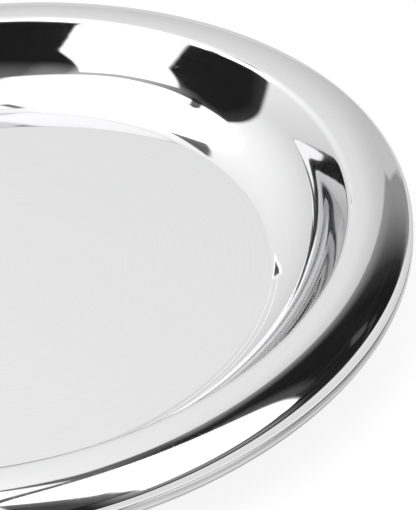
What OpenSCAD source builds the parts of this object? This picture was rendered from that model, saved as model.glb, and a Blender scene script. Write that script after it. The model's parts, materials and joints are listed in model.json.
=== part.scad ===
// Round serving tray: one pressed sheet with a wired edge.
// The origin is the middle of the underside, on the surface that the tray stands on, with Z up.

/* [Tray] */
// Outer diameter of the tray
tray_d = 350; // [280:1:420]
// Height of the lip's crest above the surface that the tray stands on
tray_h = 30; // [27:0.5:36]
// Thickness of the sheet
sheet_t = 0.8; // [0.6:0.05:1.2]

/* [Floor and wall] */
// Distance across from the edge of the flat floor to the lip's crest
wall_w = 34.25; // [30:0.25:40]
// Radius of the bend between the floor and the wall, on the upper face
floor_bend_r = 2.5; // [1.5:0.25:4]
// How much flatter than the wall's chord its foot is, in degrees
foot_flatter = 26.5; // [22:0.5:30]
// How much steeper than the wall's chord the wall is where it is steepest, in degrees
head_steeper = 18.5; // [14:0.5:22]
// How much the wall leans back again in its rounded head, in degrees
head_fall = 6; // [3:0.5:8]
// Radius of the shoulder between the wall and the lip, on the upper face
shoulder_r = 4; // [2.5:0.25:5]

/* [Lip] */
// Distance across from the lip's crest to the outer edge
lip_w = 22.5; // [19:0.5:28]
// Drop from the lip's crest to the level where the outer roll stands upright
lip_drop = 9.25; // [8.25:0.25:12]
// Radius of the outer roll, on the outer face
roll_r = 5.5; // [4:0.25:7]

/* [Wired edge] */
// Height of the upright skirt, from the outer roll to the middle of the wire
skirt_h = 3.75; // [3:0.25:6]
// Diameter of the wire in the edge
wire_d = 3; // [2:0.25:4]
// Room between the wire and the sheet curled around it
wire_clear = 0.05; // [0.02:0.01:0.1]
// Angle that the sheet is curled around the wire, in degrees
curl_angle = 270; // [220:5:280]
// Radius of the groove of the set line above the wire
set_line_r = 0.45; // [0.4:0.05:0.7]
// Depth of the set line in the outer face
set_line_depth = 0.3; // [0.1:0.02:0.36]
// How far the set line lies below the outer roll
set_line_low = 0.5; // [0.4:0.05:0.8]

/* [Hidden] */
$fn = 180;
// Largest step along the arcs of the section, in degrees
arc_step = 3;

// Radii and levels of the main circles of the tray
rim_r = tray_d / 2;
crest_r = rim_r - lip_w;
floor_r = crest_r - wall_w;
roll_z = tray_h - lip_drop;

// The outer curl: radii of its inner and outer faces, and its middle, which the wire shares
curl_in_r = wire_d / 2 + wire_clear;
curl_out_r = curl_in_r + sheet_t;
curl_mid = [rim_r - curl_out_r, roll_z - skirt_h];

// Middles of the floor bend, the shoulder and the roll in the tray's section
floor_bend_mid = [floor_r, sheet_t + floor_bend_r];
shoulder_mid = [crest_r, tray_h - shoulder_r];
roll_mid = [rim_r - roll_r, roll_z];

// Direction square to a slope of the section, up and inwards
function slope_in(angle) = [-sin(angle), cos(angle)];

// The wall curves up from the floor bend in one arc, and its head leans back in a flatter arc to the shoulder.
// The radii of both arcs follow from their angles and from where the wall starts and ends.
wall_chord_angle = atan2(tray_h - sheet_t, wall_w);
wall_foot_angle = wall_chord_angle - foot_flatter;
wall_head_angle = wall_chord_angle + head_steeper;
wall_top_angle = wall_head_angle - head_fall;
wall_foot = floor_bend_mid - floor_bend_r * slope_in(wall_foot_angle);
wall_top = shoulder_mid + shoulder_r * slope_in(wall_top_angle);
wall_rise = wall_top - wall_foot;
arc_rise = slope_in(wall_foot_angle) - slope_in(wall_head_angle);
head_rise = slope_in(wall_top_angle) - slope_in(wall_head_angle);
wall_r = cross(wall_rise, head_rise) / cross(arc_rise, head_rise);
head_r = cross(wall_rise, arc_rise) / cross(head_rise, arc_rise);
wall_mid = wall_foot + wall_r * slope_in(wall_foot_angle);
head_mid = wall_top - head_r * slope_in(wall_top_angle);

// The lip is one arc, level at the crest, that meets the outer roll smoothly
roll_run = roll_mid[0] - crest_r;
roll_fall = lip_drop - roll_r;
lip_r = roll_r + (pow(roll_run, 2) + pow(roll_fall, 2)) / (2 * roll_fall);
lip_mid = [crest_r, tray_h - lip_r];
lip_end_angle = asin(roll_run / (lip_r - roll_r));

// Points along an arc of the section, without its first one, at most an arc step apart
function arc(mid, r, from, to) =
    let (steps = ceil(abs(to - from) / arc_step))
    [for (i = [1:steps]) let (a = from + (to - from) * i / steps) mid + r * [cos(a), sin(a)]];

// The sheet's face at a depth below its upper face, from the middle of the floor to the curled edge
function face_line(depth) = concat(
    [[0, sheet_t - depth], [floor_r, sheet_t - depth]],
    arc(floor_bend_mid, floor_bend_r + depth, -90, -90 + wall_foot_angle),
    arc(wall_mid, wall_r + depth, -90 + wall_foot_angle, -90 + wall_head_angle),
    arc(head_mid, head_r - depth, 90 + wall_head_angle, 90 + wall_top_angle),
    arc(shoulder_mid, shoulder_r - depth, 90 + wall_top_angle, 90),
    arc(lip_mid, lip_r - depth, 90, 90 - lip_end_angle),
    arc(roll_mid, roll_r - depth, 90 - lip_end_angle, 0),
    [[rim_r - depth, curl_mid[1]]],
    arc(curl_mid, curl_out_r - depth, 0, -curl_angle)
);

// Points of a line from last to first
function backwards(line) = [for (i = [len(line) - 1:-1:0]) line[i]];

// Pressed sheet: floor, wall, lip, roll, skirt and curl in one piece, with the set line rolled into its rim
module dish() {
    color([0.69, 0.69, 0.70])
        rotate_extrude()
            difference() {
                polygon(concat(face_line(0), backwards(face_line(sheet_t))));
                translate([rim_r + set_line_r - set_line_depth, roll_z - set_line_low])
                    circle(set_line_r);
            }
}

// Ring of round wire held in the curl
module rim_wire() {
    color([0.62, 0.63, 0.64])
        rotate_extrude()
            translate(curl_mid)
                circle(d = wire_d);
}

dish();
rim_wire();
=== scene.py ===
# %% [markdown]
# # A round serving tray of mirror-polished steel
# The tray is one sheet of stainless steel, pressed into a flat floor, a hollow wall and a broad rounded lip.
# Its outer edge is rolled down and curled around a ring of wire, which stiffens the rim.
# A mirror has no look of its own: what we see is its shape and what stands around it.
# So this lesson spends its care on three things: a very smooth shape, a finish with fine marks in it,
# and a small photo studio for the steel to reflect.

# %% Load the frame
import json
import math

import bpy
from mathutils import Matrix, Vector


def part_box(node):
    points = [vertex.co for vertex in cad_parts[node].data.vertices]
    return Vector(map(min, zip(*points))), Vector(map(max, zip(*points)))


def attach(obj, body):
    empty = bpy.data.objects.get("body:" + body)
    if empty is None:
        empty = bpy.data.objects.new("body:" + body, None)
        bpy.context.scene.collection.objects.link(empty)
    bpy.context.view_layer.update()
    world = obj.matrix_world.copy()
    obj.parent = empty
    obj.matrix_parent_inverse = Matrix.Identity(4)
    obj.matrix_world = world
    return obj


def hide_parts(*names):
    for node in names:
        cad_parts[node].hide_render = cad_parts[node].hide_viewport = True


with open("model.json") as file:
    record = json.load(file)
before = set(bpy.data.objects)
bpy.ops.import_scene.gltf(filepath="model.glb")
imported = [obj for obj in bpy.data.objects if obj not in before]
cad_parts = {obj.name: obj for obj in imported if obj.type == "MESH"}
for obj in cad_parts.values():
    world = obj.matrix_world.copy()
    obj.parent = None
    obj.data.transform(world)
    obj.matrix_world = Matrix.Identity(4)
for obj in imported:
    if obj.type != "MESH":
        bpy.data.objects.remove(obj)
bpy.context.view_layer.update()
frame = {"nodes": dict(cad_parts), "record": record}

# %% [markdown]
# ## The sizes of the section
# A pressed tray is drawn as half a section: the line of its upper face, from the floor's middle to the rim.
# Every stretch of the line is an arc or a straight, so it is set by a few radii and heights in metres.
# The sizes that the frame shows are read from it, and the others are named here.

# %% Measure the frame and name the sizes
dish_low, dish_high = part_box("dish")
wire_low, wire_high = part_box("rim_wire")
mounts = {mount["name"]: mount for mount in frame["record"]["mounts"]}

sheet_t = mounts["serving_floor"]["pos_m"][2]
rim_r = dish_high.x
tray_h = dish_high.z
wire_r = (wire_high.z - wire_low.z) / 2
curl_mid = Vector((wire_high.x - wire_r, wire_low.z + wire_r))
curl_out_r = rim_r - curl_mid.x

wall_w = 0.03425
floor_bend_r = 0.0025
foot_flatter = math.radians(26.5)
head_steeper = math.radians(18.5)
head_fall = math.radians(6)
shoulder_r = 0.004
lip_w = 0.0225
lip_drop = 0.00925
roll_r = 0.0055
curl_angle = math.radians(270)
set_line_r = 0.00045
set_line_depth = 0.0003
set_line_low = 0.0005

crest_r = rim_r - lip_w
floor_r = crest_r - wall_w
roll_z = tray_h - lip_drop
wall_chord_angle = math.atan2(tray_h - sheet_t, wall_w)
wall_foot_angle = wall_chord_angle - foot_flatter
wall_head_angle = wall_chord_angle + head_steeper
wall_top_angle = wall_head_angle - head_fall
print(f"rim {rim_r:.4f} m, crest {crest_r:.4f} m, floor {floor_r:.4f} m, sheet {sheet_t * 1000:.2f} mm")

# %% [markdown]
# ## Where the compass point goes
# Two stretches join without a kink when they share a tangent, so an arc's middle lies square to the joint.
# The wall leaves the floor's bend at its foot angle, curves up, and leans back a little in its head.
# The angles are known, so the radii of both arcs follow from where the wall starts and ends.
# The lip is found the same way: level at the crest, and touching the outer roll.

# %% Work out the middles of the arcs
def slope_in(angle):
    """Direction square to a slope, up and towards the tray's middle."""
    return Vector((-math.sin(angle), math.cos(angle)))


floor_bend_mid = Vector((floor_r, sheet_t + floor_bend_r))
shoulder_mid = Vector((crest_r, tray_h - shoulder_r))
roll_mid = Vector((rim_r - roll_r, roll_z))

wall_foot = floor_bend_mid - floor_bend_r * slope_in(wall_foot_angle)
wall_top = shoulder_mid + shoulder_r * slope_in(wall_top_angle)
wall_rise = wall_top - wall_foot
arc_rise = slope_in(wall_foot_angle) - slope_in(wall_head_angle)
head_rise = slope_in(wall_top_angle) - slope_in(wall_head_angle)
wall_r = wall_rise.cross(head_rise) / arc_rise.cross(head_rise)
head_r = wall_rise.cross(arc_rise) / head_rise.cross(arc_rise)
wall_mid = wall_foot + wall_r * slope_in(wall_foot_angle)
head_mid = wall_top - head_r * slope_in(wall_top_angle)

roll_run = roll_mid.x - crest_r
roll_fall = lip_drop - roll_r
lip_r = roll_r + (roll_run ** 2 + roll_fall ** 2) / (2 * roll_fall)
lip_mid = Vector((crest_r, tray_h - lip_r))
lip_end_angle = math.asin(roll_run / (lip_r - roll_r))

set_line_z = roll_z - set_line_low
set_line_mid = Vector((rim_r + set_line_r - set_line_depth, set_line_z))
set_line_half = math.acos((set_line_r - set_line_depth) / set_line_r)
set_line_reach = set_line_r * math.sin(set_line_half)
print(f"wall radius {wall_r * 1000:.1f} mm, head {head_r * 1000:.1f} mm, lip radius {lip_r * 1000:.1f} mm")

# %% [markdown]
# ## Drawing the line with a compass
# The spin operator is a compass: it carries a point round a middle and leaves an edge behind it.
# A plane that is merged to one point gives the pencil a start. Each stretch starts where the last one ended.
# This keeps the arcs true, where a curve with handles would only come near them.
# A mirror shows the difference.

# %% Helpers for the pencil
def deselect_all():
    bpy.ops.object.select_all(action="DESELECT")


def start_line(name, radius, level):
    """Start a line in the section, with one selected point at a radius and a level."""
    deselect_all()
    bpy.ops.mesh.primitive_plane_add(size=sheet_t, location=(0, 0, 0))
    piece = bpy.context.object
    piece.name = name
    bpy.ops.object.mode_set(mode="EDIT")
    bpy.ops.mesh.select_all(action="SELECT")
    bpy.ops.mesh.merge(type="CENTER")
    bpy.ops.transform.translate(value=(radius, 0, level))
    return piece


def straight(across, up):
    """Carry the last point on in a straight line."""
    bpy.ops.mesh.extrude_region_move(TRANSFORM_OT_translate={"value": (across, 0, up)})


def compass(middle, turn, steps):
    """Carry the last point round a middle, to the left for a positive turn."""
    bpy.ops.mesh.spin(steps=steps, angle=turn, center=(middle.x, 0, middle.y), axis=(0, 1, 0))


# %% Draw the upper face of the dish
floor_guard = 0.0006
dish = start_line("pressed_dish", 0, sheet_t)
straight(floor_r - floor_guard, 0)
straight(floor_guard, 0)
compass(floor_bend_mid, wall_foot_angle, steps=6)
compass(wall_mid, wall_head_angle - wall_foot_angle, steps=36)
compass(head_mid, -head_fall, steps=12)
compass(shoulder_mid, -wall_top_angle, steps=18)
compass(lip_mid, -lip_end_angle, steps=22)
compass(roll_mid, lip_end_angle - math.pi / 2, steps=18)
straight(0, set_line_reach - set_line_low)
compass(set_line_mid, 2 * set_line_half, steps=8)
straight(0, curl_mid.y - set_line_z + set_line_reach)
compass(curl_mid, -curl_angle, steps=32)
bpy.ops.object.mode_set(mode="OBJECT")
last = dish.data.vertices[-1].co
print(f"section of {len(dish.data.vertices)} points, ends at radius {last.x:.4f} m, level {last.z:.4f} m")

# %% [markdown]
# ## Turning the section and giving the sheet its thickness
# A press turns a flat disc into a dish; here the same spin turns the line once round the tray's axis.
# The points that meet at the seam and at the pole are merged and the faces are turned to look up and out.
# Only then does Solidify add the sheet's thickness downwards, with even walls and closed raw edges.

# %% Turn, merge and thicken the dish
turn_steps = 224
merge_distance = 0.000005
smooth_angle = math.radians(35)

bpy.ops.object.mode_set(mode="EDIT")
bpy.ops.mesh.select_all(action="SELECT")
bpy.ops.mesh.spin(steps=turn_steps, angle=2 * math.pi, center=(0, 0, 0), axis=(0, 0, 1))
bpy.ops.mesh.select_all(action="SELECT")
bpy.ops.mesh.remove_doubles(threshold=merge_distance)
bpy.ops.mesh.normals_make_consistent(inside=False)
bpy.ops.object.mode_set(mode="OBJECT")

floor_face = min(dish.data.polygons, key=lambda face: face.center.length)
if floor_face.normal.z < 0:
    bpy.ops.object.mode_set(mode="EDIT")
    bpy.ops.mesh.select_all(action="SELECT")
    bpy.ops.mesh.flip_normals()
    bpy.ops.object.mode_set(mode="OBJECT")


def apply_modifier(piece, kind, **settings):
    """Add a modifier with its settings and apply it."""
    modifier = piece.modifiers.new(kind.title(), kind)
    for setting, value in settings.items():
        setattr(modifier, setting, value)
    bpy.context.view_layer.objects.active = piece
    bpy.ops.object.modifier_apply(modifier=modifier.name)


apply_modifier(dish, "SOLIDIFY", thickness=sheet_t, offset=-1, use_even_offset=True, use_rim=True)
bpy.ops.object.shade_smooth_by_angle(angle=smooth_angle)
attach(dish, "root")
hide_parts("dish")
triangles = sum(len(face.vertices) - 2 for face in dish.data.polygons)
print(f"{dish.name}: {len(dish.data.vertices)} points, {triangles} triangles")

# %% [markdown]
# ## Helpers for node trees
# The finish of the steel and the light of the studio are both sums worked out by nodes.
# These few helpers add one node each, so that the cells below read like the sums themselves.

# %% Helpers for node trees
def feed(tree, socket, value):
    """Give a socket a number, or join it to another node's output."""
    if isinstance(value, bpy.types.NodeSocket):
        tree.links.new(value, socket)
    else:
        socket.default_value = value


def work(tree, operation, *values):
    """Add one Math node and give back its result."""
    node = tree.nodes.new("ShaderNodeMath")
    node.operation = operation
    for socket, value in zip(node.inputs, values):
        feed(tree, socket, value)
    return node.outputs[0]


def ramp(tree, value, start, end):
    """A soft step: 0 up to the start, 1 from the end on."""
    node = tree.nodes.new("ShaderNodeMapRange")
    node.interpolation_type = "SMOOTHSTEP"
    feed(tree, node.inputs["Value"], value)
    node.inputs["From Min"].default_value = start
    node.inputs["From Max"].default_value = end
    return node.outputs["Result"]


def cloud(tree, place, lengths, detail=2):
    """Noise from 0 to 1 at a place of three numbers, each counted in its own length."""
    spot = tree.nodes.new("ShaderNodeCombineXYZ")
    for socket, value, length in zip(spot.inputs, place, lengths):
        feed(tree, socket, work(tree, "DIVIDE", value, length))
    noise = tree.nodes.new("ShaderNodeTexNoise")
    noise.inputs["Scale"].default_value = 1
    noise.inputs["Detail"].default_value = detail
    tree.links.new(spot.outputs[0], noise.inputs["Vector"])
    return noise.outputs[0]


def object_place(tree):
    """The three coordinates of a point on its piece."""
    split = tree.nodes.new("ShaderNodeSeparateXYZ")
    tree.links.new(tree.nodes.new("ShaderNodeTexCoord").outputs["Object"], split.inputs[0])
    return split.outputs


def ring_place(tree):
    """A point's radius and level, and its direction from the axis as shares to the right and the back."""
    right, back, level = object_place(tree)
    radius = work(tree, "SQRT", work(tree, "MULTIPLY_ADD", right, right, work(tree, "MULTIPLY", back, back)))
    from_axis = work(tree, "MAXIMUM", radius, sheet_t)
    return radius, level, work(tree, "DIVIDE", right, from_axis), work(tree, "DIVIDE", back, from_axis)


def start_group(name, output):
    """Start a node group with one value as its output."""
    group = bpy.data.node_groups.new(name, "ShaderNodeTree")
    group.interface.new_socket(name=output, in_out="OUTPUT", socket_type="NodeSocketFloat")
    return group


def end_group(group, value):
    """Send a value to the output of its group."""
    group.links.new(value, group.nodes.new("NodeGroupOutput").inputs[0])
    print(f"{group.name}: {len(group.nodes)} nodes")


def use_group(tree, group):
    """Put a node group into a material and give back its value."""
    node = tree.nodes.new("ShaderNodeGroup")
    node.node_tree = group
    return node.outputs[0]


# %% [markdown]
# ## What the press leaves in the sheet
# A drawn wall is never as true as its drawing: the sheet keeps shallow waves, and tools leave fine rings.
# On a mirror they bend straight reflections into wavy and streaky ones, although no finger could feel them.
# Both are heights for Bump nodes. The waves take the whole wall, the rings its steep upper half,
# and both fade out on the flat floor and on the lip.

# %% Waves and tool rings of the wall
def wall_share(tree, radius, start):
    """How far a point belongs to the wall, from a starting radius up to the crest."""
    fade = 0.004
    from_start = ramp(tree, radius, start, start + fade)
    to_crest = ramp(tree, radius, crest_r, crest_r - fade)
    return work(tree, "MULTIPLY", from_start, to_crest)


def wall_relief(name, start, across, around):
    """A group of soft ridges round the wall: their width up the slope, and their length in radians."""
    relief = start_group(name, "Height")
    radius, level, right, back = ring_place(relief)
    up_slope = work(relief, "ADD", radius, level)
    ridge = cloud(relief, (up_slope, right, back), (across, around, around), detail=0)
    from_mean = work(relief, "SUBTRACT", ridge, 0.5)
    end_group(relief, work(relief, "MULTIPLY", from_mean, wall_share(relief, radius, start)))
    return relief


waves = wall_relief("sheet_waves", start=floor_r, across=0.011, around=0.16)
rings = wall_relief("tool_rings", start=floor_r + wall_w / 2, across=0.0035, around=0.5)

# %% [markdown]
# ## What polishing and use leave on it
# The wheel that polishes the turning tray leaves very fine circles.
# Hands and cloths leave haze and hairlines.
# All three are so fine that they only cloud the mirror a little, most where it shows something dark.

# %% Polishing marks, haze and hairlines
mark_across = 0.00025
mark_around = 0.3
marks = start_group("polishing_marks", "Marks")
radius, level, right, back = ring_place(marks)
up_slope = work(marks, "ADD", radius, level)
end_group(marks, cloud(marks, (up_slope, right, back), (mark_across, mark_around, mark_around)))

haze_size = 0.03
haze_from = 0.5
haze_full = 0.75
haze = start_group("handling_haze", "Haze")
smear = cloud(haze, object_place(haze), (haze_size, haze_size, haze_size), detail=4)
end_group(haze, ramp(haze, smear, haze_from, haze_full))

hair_width = 0.00014
hair_length = 0.008
hair_turns = (25, 70, 140)
hair_from = 0.78
hair_full = 0.84
hairs = start_group("hairlines", "Lines")
right, back, level = object_place(hairs)
lines = 0
for turn in hair_turns:
    cos_turn = math.cos(math.radians(turn))
    sin_turn = math.sin(math.radians(turn))
    over = work(hairs, "MULTIPLY_ADD", right, cos_turn, work(hairs, "MULTIPLY", back, sin_turn))
    onward = work(hairs, "MULTIPLY_ADD", back, cos_turn, work(hairs, "MULTIPLY", right, -sin_turn))
    hair = cloud(hairs, (over, onward, level), (hair_width, hair_length, hair_length), detail=0)
    lines = work(hairs, "MAXIMUM", ramp(hairs, hair, hair_from, hair_full), lines)
end_group(hairs, lines)

# %% [markdown]
# ## Painted shade and a painted highlight on the rim
# The rim is curled after polishing. Below the set line and at the curl's foot, two bands are rougher than
# the polish, and their grey is darkened as painted shade, which stands in for dark reflections in the rim.
# Both bands are broken into streaks. They fade out at the sides and are strongest part way round,
# with a little less right at the front and back.
# The line above the set line is a painted highlight: its grey is lighter, standing in for a bright
# reflection there.

# %% Bands of painted shade on the rim, also rougher
def rim_share(tree, radius):
    """How far a point belongs to the rim."""
    return ramp(tree, radius, crest_r, rim_r - roll_r)


band_start = 0.0004
band_full = 0.0008
band_fade = 0.002
band_end = 0.0034
foot_start = 0.0033
foot_full = 0.0046
foot_gain = 1.3
streak_across = 0.0004
streak_around = 0.2
streak_from = 0.35
streak_full = 0.65
streak_share = 0.4
side_fade_from = 0.45
side_fade_full = 0.62
ends_from = 0.8
ends_full = 0.95
ends_loss = 0.35

rim_shade_bands = start_group("rim_painted_shade_and_dulling", "ShadeAndDull")
radius, level, right, back = ring_place(rim_shade_bands)
below_roll = work(rim_shade_bands, "SUBTRACT", roll_z, level)
band_top = ramp(rim_shade_bands, below_roll, band_start, band_full)
# Painted shade: a band just below the set line.
upper_band = work(rim_shade_bands, "MULTIPLY", band_top, ramp(rim_shade_bands, below_roll, band_end, band_fade))
# Painted shade: a band at the curl's foot, for the shaded ground mirrored there.
foot_band = work(rim_shade_bands, "MULTIPLY", ramp(rim_shade_bands, below_roll, foot_start, foot_full), foot_gain)
streak = cloud(rim_shade_bands, (level, right, back), (streak_across, streak_around, streak_around))
streak = ramp(rim_shade_bands, streak, streak_from, streak_full)
streak = work(rim_shade_bands, "MULTIPLY_ADD", streak, streak_share, 1 - streak_share)
# The painted shade fades out at the sides of the tray and weakens a little at the front and back.
to_ends = work(rim_shade_bands, "ABSOLUTE", back)
side_fade = work(rim_shade_bands, "MULTIPLY_ADD", ramp(rim_shade_bands, to_ends, ends_from, ends_full), -ends_loss, 1)
side_fade = work(rim_shade_bands, "MULTIPLY", side_fade, ramp(rim_shade_bands, to_ends, side_fade_from, side_fade_full))
streak = work(rim_shade_bands, "MULTIPLY", streak, side_fade)
band = work(rim_shade_bands, "MAXIMUM", upper_band, foot_band)
band = work(rim_shade_bands, "MULTIPLY", band, rim_share(rim_shade_bands, radius))
end_group(rim_shade_bands, work(rim_shade_bands, "MULTIPLY", band, streak))

# %% Painted highlight line of the rim
line_start = -0.0001
line_full = 0.0002
line_fade = 0.0003
line_end = 0.0007
painted_rim_highlight = start_group("rim_painted_highlight", "Bright")
radius, level, right, back = ring_place(painted_rim_highlight)
above_roll = work(painted_rim_highlight, "SUBTRACT", level, roll_z)
line_foot = ramp(painted_rim_highlight, above_roll, line_start, line_full)
bright = work(painted_rim_highlight, "MULTIPLY", line_foot, ramp(painted_rim_highlight, above_roll, line_end, line_fade))
end_group(painted_rim_highlight, work(painted_rim_highlight, "MULTIPLY", bright, rim_share(painted_rim_highlight, radius)))

# %% [markdown]
# ## Two steels
# The dish is mirror-polished, so it is all reflection: a plain grey metal with very little roughness.
# Its marks only shift the roughness and the grey a little, and the two heights tilt the mirror.
# On the rim, bands of painted shade darken the grey a good deal, and a line of painted highlight lightens
# it.
# At a glancing angle steel mirrors about a quarter less than the shader's plain rule for metals.
# Specular Tint sets this. It shows in the wall, where light glances off several times and comes out grey.
# A thin film left by the polishing cloth, a rough coat of varying weight, veils the darkest reflections.
# The wire was drawn through a die and never polished: it is darker and satin, with lines along its length.

# %% Make the polished steel
steel_grey = 0.69
steel_rough = 0.025
glancing_share = 0.77
wave_height = 0.00003
ring_height = 0.000006
mark_grey = 0.03
# Painted shade: how much the rim's bands darken the steel's grey.
painted_shade_grey = 0.4
# Painted highlight: how much the rim's line lightens the steel's grey.
highlight_grey = 0.16
blue_share = 1.008
mark_rough = 0.02
haze_rough = 0.03
hair_rough = 0.07
dull_rough = 0.1
film_rough = 0.4
film_from = 0.45
film_full = 0.7
mark_film = 0.35
haze_film = 0.15

steel = bpy.data.materials.new("polished_steel")
steel.use_nodes = True
tree = steel.node_tree
shader = tree.nodes["Principled BSDF"]
shader.inputs["Metallic"].default_value = 1
shader.inputs["Specular Tint"].default_value = (glancing_share, glancing_share, glancing_share, 1)
shader.inputs["Coat Roughness"].default_value = film_rough

mark = use_group(tree, marks)
dull_and_shade = use_group(tree, rim_shade_bands)
grey = work(tree, "MULTIPLY_ADD", mark, -mark_grey, steel_grey + mark_grey / 2)
# Painted shade on the rim: its bands darken the grey.
grey = work(tree, "MULTIPLY_ADD", dull_and_shade, -painted_shade_grey, grey)
# Painted highlight on the rim: a line of lighter grey.
grey = work(tree, "MULTIPLY_ADD", use_group(tree, painted_rim_highlight), highlight_grey, grey)
colour = tree.nodes.new("ShaderNodeCombineColor")
feed(tree, colour.inputs["Red"], grey)
feed(tree, colour.inputs["Green"], grey)
feed(tree, colour.inputs["Blue"], work(tree, "MULTIPLY", grey, blue_share))
tree.links.new(colour.outputs[0], shader.inputs["Base Color"])

rough = work(tree, "MULTIPLY_ADD", mark, mark_rough, steel_rough)
smears = use_group(tree, haze)
rough = work(tree, "MULTIPLY_ADD", smears, haze_rough, rough)
rough = work(tree, "MULTIPLY_ADD", use_group(tree, hairs), hair_rough, rough)
rough = work(tree, "MULTIPLY_ADD", dull_and_shade, dull_rough, rough)
tree.links.new(rough, shader.inputs["Roughness"])

film = work(tree, "MULTIPLY", smears, haze_film)
film = work(tree, "MULTIPLY_ADD", ramp(tree, mark, film_from, film_full), mark_film, film)
tree.links.new(film, shader.inputs["Coat Weight"])


def add_bump(tree, height, distance):
    """Add a Bump node for a height between about -0.5 and 0.5, measured in metres by the distance."""
    bump = tree.nodes.new("ShaderNodeBump")
    bump.inputs["Distance"].default_value = distance
    tree.links.new(height, bump.inputs["Height"])
    return bump


wave_bump = add_bump(tree, use_group(tree, waves), wave_height)
ring_bump = add_bump(tree, use_group(tree, rings), ring_height)
tree.links.new(wave_bump.outputs["Normal"], ring_bump.inputs["Normal"])
tree.links.new(ring_bump.outputs["Normal"], shader.inputs["Normal"])
dish.data.materials.append(steel)
print(f"{steel.name}: {len(tree.nodes)} nodes")

# %% Make the drawn wire
wire_grey = 0.6
wire_rough = 0.22
wire_mark_grey = 0.2
wire_mark_rough = 0.2
wire_steel = bpy.data.materials.new("drawn_wire")
wire_steel.use_nodes = True
tree = wire_steel.node_tree
shader = tree.nodes["Principled BSDF"]
shader.inputs["Metallic"].default_value = 1
mark = use_group(tree, marks)
grey = work(tree, "MULTIPLY_ADD", mark, -wire_mark_grey, wire_grey + wire_mark_grey / 2)
colour = tree.nodes.new("ShaderNodeCombineColor")
for socket in colour.inputs[:3]:
    feed(tree, socket, grey)
tree.links.new(colour.outputs[0], shader.inputs["Base Color"])
rough = work(tree, "MULTIPLY_ADD", mark, wire_mark_rough, wire_rough)
tree.links.new(rough, shader.inputs["Roughness"])
wire = frame["nodes"]["rim_wire"]
wire.data.materials.clear()
wire.data.materials.append(wire_steel)
print(f"{wire_steel.name} on {wire.name}")

# %% [markdown]
# ## The floor
# A wide white surface carries the tray's shadow and is mirrored in the underside of the rim.
# Its glow is for the camera and for mirrors only, so the white backdrop puts no more light on the tray.

# %% Lay the floor
floor_size = 40
floor_gap = 0.0001
paper_grey = 0.2
paper_glow = 0.84
paper_rough = 0.9
deselect_all()
bpy.ops.mesh.primitive_plane_add(size=floor_size, location=(0, 0, -floor_gap))
ground = bpy.context.object
ground.name = "studio_floor"
paper = bpy.data.materials.new("white_paper")
paper.use_nodes = True
ground.data.materials.append(paper)
tree = paper.node_tree
paper_shader = tree.nodes["Principled BSDF"]
paper_shader.inputs["Base Color"].default_value = (paper_grey, paper_grey, paper_grey, 1)
paper_shader.inputs["Roughness"].default_value = paper_rough
paper_shader.inputs["Specular IOR Level"].default_value = 0
paper_shader.inputs["Emission Color"].default_value = (1, 1, 1, 1)
sight = tree.nodes.new("ShaderNodeLightPath").outputs
seen = work(tree, "MAXIMUM", sight["Is Camera Ray"], sight["Is Glossy Ray"])
seen = work(tree, "MAXIMUM", seen, sight["Is Transmission Ray"])
tree.links.new(work(tree, "MULTIPLY", seen, paper_glow), paper_shader.inputs["Emission Strength"])
print(f"{ground.name}: {floor_size} m across")

# %% [markdown]
# ## The studio around the tray
# What a mirror shows is its surroundings, so the world stands for a small photo studio.
# Each thing in it is a soft-edged panel of light in some direction: a bearing in degrees from the back to
# the right, and a height above the table.
# What hangs overhead is laid out on a ceiling one unit above the tray instead.

# %% Read directions in the world
world = bpy.data.worlds.new("studio")
bpy.context.scene.world = world
world.use_nodes = True
sky = world.node_tree
sky.nodes.clear()

split = sky.nodes.new("ShaderNodeSeparateXYZ")
sky.links.new(sky.nodes.new("ShaderNodeTexCoord").outputs["Generated"], split.inputs[0])
to_right, to_back, to_top = split.outputs
degrees = 180 / math.pi
bearing = work(sky, "MULTIPLY", work(sky, "ARCTAN2", to_right, to_back), degrees)
height = work(sky, "MULTIPLY", work(sky, "ARCSINE", to_top), degrees)
lowest_rise = 0.02
rise = work(sky, "MAXIMUM", to_top, lowest_rise)
around = (bearing, height)
overhead = (work(sky, "DIVIDE", to_right, rise), work(sky, "DIVIDE", to_back, rise))


def panel(view, **edges):
    """A panel with soft straight edges in one of the two views.

    Each edge is (across, up, limit, soft): inside it, across * view[0] + up * view[1] stays below the limit.
    """
    mask = 1
    for across, up, limit, soft in edges.values():
        reach = work(sky, "MULTIPLY_ADD", view[0], across, work(sky, "MULTIPLY", view[1], up))
        mask = work(sky, "MULTIPLY", ramp(sky, reach, limit + soft, limit - soft), mask)
    return mask


def both(first, second):
    """Where two panels overlap."""
    return work(sky, "MULTIPLY", first, second)


def shine(name, level, mask):
    """Let a named panel of some brightness outshine what is there already."""
    brightest = work(sky, "MAXIMUM", work(sky, "MULTIPLY", mask, level), light)
    brightest.node.label = name
    return brightest


def lamp(name, level, **edges):
    """Hang a named panel of light round the tray, with the edges that panel takes."""
    return shine(name, level, panel(around, **edges))


room_glow = 0.016
light = room_glow

# %% [markdown]
# ## Backdrop and grey walls
# A sheet of white paper stands behind the tray. It is brighter higher up and towards the left, where the
# lamps are, and it darkens towards its right edge.
# To the right of it are walls that catch only the light that it spills.

# %% Set up the backdrop and the walls
height_gain = 0.006
side_gain = -0.00012
level_at_table = 0.925
right_end_loss = 0.2

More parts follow.
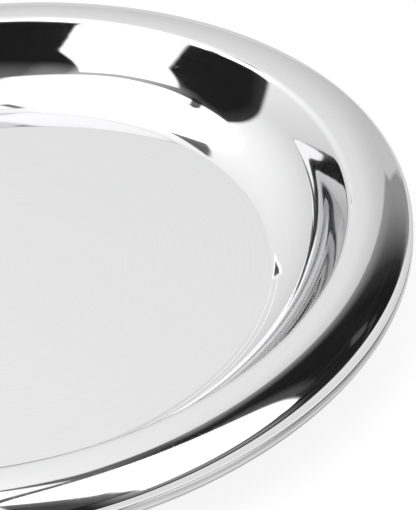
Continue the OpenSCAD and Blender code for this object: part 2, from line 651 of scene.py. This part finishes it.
backdrop = panel(around, left=(-1, 0.12, 71.2, 1.2), right=(1, 0.12, 35.2, 1), top=(0, 1, 65.2, 0.8),
                 side_corner=(1, 0.45, 49.75, 1.2), corner=(1, 0.83, 70.65, 1.5),
                 top_corner=(0.5, 1, 71, 1.2))
towards_lamps = work(sky, "MULTIPLY_ADD", bearing, side_gain, height_gain)
backdrop = both(backdrop, work(sky, "MULTIPLY_ADD", height, towards_lamps, level_at_table))
fully_lit = panel(around, right=(1, 0, 24, 8))
backdrop = both(backdrop, work(sky, "MULTIPLY_ADD", fully_lit, right_end_loss, 1 - right_end_loss))
light = shine("paper backdrop", 1, backdrop)
light = lamp("end of the paper", 0.62, top=(1, 1, 53.2, 1), right=(1, 0, 40.5, 1.5), left=(-1, 0, -20, 5))
light = lamp("low end of the paper", 0.78, top=(0, 1, 23.5, 1), right=(1, 0.3, 41.2, 1),
             left=(-1, 0, -26, 3))
light = lamp("wall beside the paper", 0.4, right=(1, 1, 70, 13), left=(-1, 0, -10, 10))
light = lamp("wall above its end", 0.4, right=(1, 0.4, 50.2, 6.5), left=(-1, 0, -20, 5), top=(0, 1, 62, 3))
light = lamp("far part of that wall", 0.05, right=(1, 1, 82, 12), left=(-1, 0, -20, 10))
light = lamp("wall at the near right", 0.36, left=(-1, 0, -106, 8), right=(1, 0, 157, 9),
             low=(-0.25, -1, -51.5, 4), top=(0, 1, 36, 6))
light = lamp("dim part of the right wall", 0.15, left=(-1, 0, -96, 8), right=(1, 0, 135, 10),
             low=(0, -1, -33, 4), top=(0, 1, 46, 4))
light = lamp("lit corner at the near right", 0.55, left=(-1, 0, -140, 3), right=(1, 0, 155, 9),
             low=(0, -1, -27, 3), top=(0, 1, 46, 8))
light = lamp("white card at the right", 1.1, top=(0, 1, 14.5, 2.5), left_top=(-0.27, 1, -8, 2),
             right_top=(0.27, 1, 46.5, 2.5), left=(-1, 0, -55, 8))
print(f"backdrop and walls: {len(sky.nodes)} nodes so far")

# %% [markdown]
# ## Banks of lamps
# Lamps behind stretched cloth hang over the tray on its left, its right and above its back.
# They give the broad white bands, and the dark gaps between them give the black ones.

# %% Hang the banks and the ceiling
bank_level = 2.2
left_bank = both(panel(around, right=(1, 0.79, 38.8, 1.5), far=(0.45, -1, -60, 6),
                       low=(-0.17, -1, -25.1, 0.8), near_low=(-0.415, -1, -2.1, 1)),
                 panel(overhead, near=(0, -1, 0.4, 0.06), right=(0.926, -0.378, -0.057, 0.05)))
back_bank = both(panel(around, low=(-0.35, -1, -76.3, 0.7), side_low=(-0.28, -1, -73.9, 0.8),
                       right=(1, 0, 92, 4), left=(-1, 0, 30, 5)),
                 panel(overhead, near=(-0.656, -0.755, -0.112, 0.012)))
right_bank = both(panel(around, left=(-1, 0, -85, 5), low=(-0.325, -1, -79.5, 0.9)),
                  panel(overhead, near=(-0.955, -0.298, -0.182, 0.02),
                        near_low=(-0.894, -0.449, -0.115, 0.02)))
light = shine("left bank", bank_level, left_bank)
light = shine("back bank", bank_level, back_bank)
light = shine("right bank", bank_level, right_bank)
light = lamp("cloth beside the back bank", 0.1, low=(-0.28, -1, -69.9, 2.5), left=(-1, 0, -36, 4),
             right=(1, 0, 64, 4))
light = lamp("lamp between the banks", 1.5, low=(0.17, -1, -66.8, 0.4), top=(0.37, 1, 73.4, 0.4),
             left=(-1, -0.6, -28.5, 1))
light = lamp("cloth above the paper", 0.16, left=(-1, 0, 22, 3), right=(1, 0, 25, 7), low=(0, -1, -58, 2),
             top=(0, 1, 77, 2))
light = lamp("lamp above the paper", 1.5, left=(-1, 0, 30, 2), right=(1, 0, -9, 2), low=(0, -1, -72.5, 0.5))

ceiling_level = 0.08
spill_level = 0.2
ceiling = both(panel(around, low=(0, -1, -52, 6)), panel(overhead, far=(0.656, 0.755, 0.112, 0.02)))
beside_right_bank = panel(overhead, beside=(-0.955, -0.298, -0.09, 0.09))
before_back_bank = panel(overhead, before=(-0.656, -0.755, -0.06, 0.05))
light = shine("ceiling", ceiling_level, ceiling)
light = shine("ceiling beside the right bank", spill_level, both(ceiling, beside_right_bank))
light = shine("ceiling before the back bank", spill_level, both(ceiling, before_back_bank))
print(f"banks and ceiling: {len(sky.nodes)} nodes so far")

# %% [markdown]
# ## Lamps at the side
# A tall strip of light stands at the front left, with its own glow on the wall above it.
# Small lamps farther off show as thin bright lines in the wall of the tray.

# %% Stand up the side lamps
light = lamp("tall strip", 2, left=(-1, 0.75, 162.6, 1), right=(1, -0.815, -121.9, 1.5), low=(0, -1, -8, 2),
             top=(0.47, 1, -8, 0.7))
light = lamp("bright wall above the strip", 0.68, left=(-1, 0, 128, 5), right=(1, 0, -93, 17),
             low=(0, -1, -34, 4), top=(0, 1, 60, 3))
light = lamp("wall left of it", 0.3, left=(-1, 0, 145, 9), right=(1, 0, -110, 5), low=(0, -1, -48, 9),
             top=(0, 1, 66, 3))
light = lamp("wall farther left", 0.2, left=(-1, 0, 170, 8), right=(1, 0, -110, 5), low=(0, -1, -52, 14),
             top=(0, 1, 68, 3))
light = lamp("wall right of it", 0.11, left=(-1, 0, 110, 5), right=(1, 0, -66, 1), low=(0, -1, -35, 4),
             top=(0, 1, 60, 3))
light = lamp("dark wall by the paper", 0.05, left=(-1, 0, 74, 5), right=(1, 0, -66, 1), top=(0, 1, 36, 3))
light = lamp("pane at the right", 0.1, left=(-1, 0, -54.5, 0.4), right=(1, 0, 60, 0.4),
             low=(0, -1, -41, 0.4), top=(0, 1, 45, 0.4))
light = lamp("thin pale rail", 0.06, low=(-0.7, -1, -78, 1), top=(0.7, 1, 82, 1.5), left=(-1, 0, -58, 1),
             right=(1, 0, 80, 2))
light = lamp("left thin lamp", 1.5, left=(-1, -0.441, 1.9, 0.3), right=(1, 0.441, -1.1, 0.3),
             low=(0, -1, -7, 1), top=(0, 1, 25.5, 0.8))
light = lamp("right thin lamp", 1.5, left=(-1, -0.368, 0, 0.3), right=(1, 0.368, 0.8, 0.3),
             low=(0, -1, -7, 1), top=(0, 1, 27.5, 0.8))
print(f"side lamps: {len(sky.nodes)} nodes so far")

# %% [markdown]
# ## Dark things in front of the lamps
# A hood, a stand and the dark middle of a small lamp stand before the light.
# Each is a panel too, but it takes a share of whatever light is behind it.
# The steel shows it as a dark line or patch.

# %% Put up the dark things
def stand(name, share, **edges):
    """Let a named dark thing take a share of the light behind it."""
    left_over = work(sky, "MULTIPLY_ADD", panel(around, **edges), -share, 1)
    dimmed = work(sky, "MULTIPLY", light, left_over)
    dimmed.node.label = name
    return dimmed


light = stand("dark hood", 0.88, low=(-0.17, -1, -44, 0.4), left_top=(-0.58, 1, 68.6, 0.4),
              right_top=(0.92, 1, 31.4, 0.4))
light = stand("dark stand", 0.93, left=(-1, 0, 84.5, 0.8), right=(1, 0, -75.3, 0.6), low=(0, -1, -37, 1),
              top=(0, 1, 44, 0.5), left_top=(-1, 1, 122.4, 1), right_low=(1, -1, -117, 1))
light = lamp("small lamp", 1.8, left=(-1, 0, 14.8, 0.3), low=(0.93, -1, -37.2, 0.3),
             left_top=(-2.09, 1, 56.8, 0.5), right_top=(0.78, 1, 21.4, 0.3))
light = stand("dark middle of the small lamp", 0.95, left=(-1, 0, 13.5, 0.3), low=(0.93, -1, -37.7, 0.3),
              left_top=(-2.09, 1, 54.9, 0.5), right_top=(0.78, 1, 20.3, 0.3))

# %% [markdown]
# ## White for the camera
# Only the camera sees plain white behind the table, so the picture has a white ground
# and the tray still mirrors the studio.

# %% Put the light into the world
def background(strength):
    """Add a white Background node with a strength."""
    node = sky.nodes.new("ShaderNodeBackground")
    node.inputs["Color"].default_value = (1, 1, 1, 1)
    feed(sky, node.inputs["Strength"], strength)
    return node.outputs[0]


pick = sky.nodes.new("ShaderNodeMixShader")
sky.links.new(sky.nodes.new("ShaderNodeLightPath").outputs["Is Camera Ray"], pick.inputs["Fac"])
sky.links.new(background(light), pick.inputs[1])
sky.links.new(background(1), pick.inputs[2])
sky.links.new(pick.outputs[0], sky.nodes.new("ShaderNodeOutputWorld").inputs["Surface"])
print(f"studio of {len(sky.nodes)} nodes")

# %% [markdown]
# ## The camera
# A long lens looks down at the tray, close in on its right half.

# %% Place the camera
image_w, image_h = 416, 510
sensor_mm = 36
focal_px = 2288
tray_mid_px = (-24.0, 275.1)
camera_distance = 0.92225
camera_height = math.radians(36.32)
camera_roll = math.radians(9.09)

camera_data = bpy.data.cameras.new("camera")
camera = bpy.data.objects.new("camera", camera_data)
bpy.context.scene.collection.objects.link(camera)
bpy.context.scene.camera = camera
camera_data.sensor_width = sensor_mm
camera_data.lens = focal_px / max(image_w, image_h) * sensor_mm
floor_mid = Vector((0, 0, sheet_t))
backwards = Vector((0, -math.cos(camera_height), math.sin(camera_height)))
aim = backwards.to_track_quat("Z", "Y").to_matrix().to_4x4()
pan = math.atan2(tray_mid_px[0] - image_w / 2, focal_px)
tilt = math.atan2(tray_mid_px[1] - image_h / 2, math.hypot(focal_px, tray_mid_px[0] - image_w / 2))
camera.matrix_world = (Matrix.Translation(floor_mid + backwards * camera_distance) @ aim
                       @ Matrix.Rotation(-camera_roll, 4, "Z")
                       @ Matrix.Rotation(tilt, 4, "X")
                       @ Matrix.Rotation(pan, 4, "Y"))

bpy.context.scene.view_settings.view_transform = "Standard"
print(f"camera {camera_distance:.3f} m from the floor's middle, lens {camera_data.lens:.1f} mm")
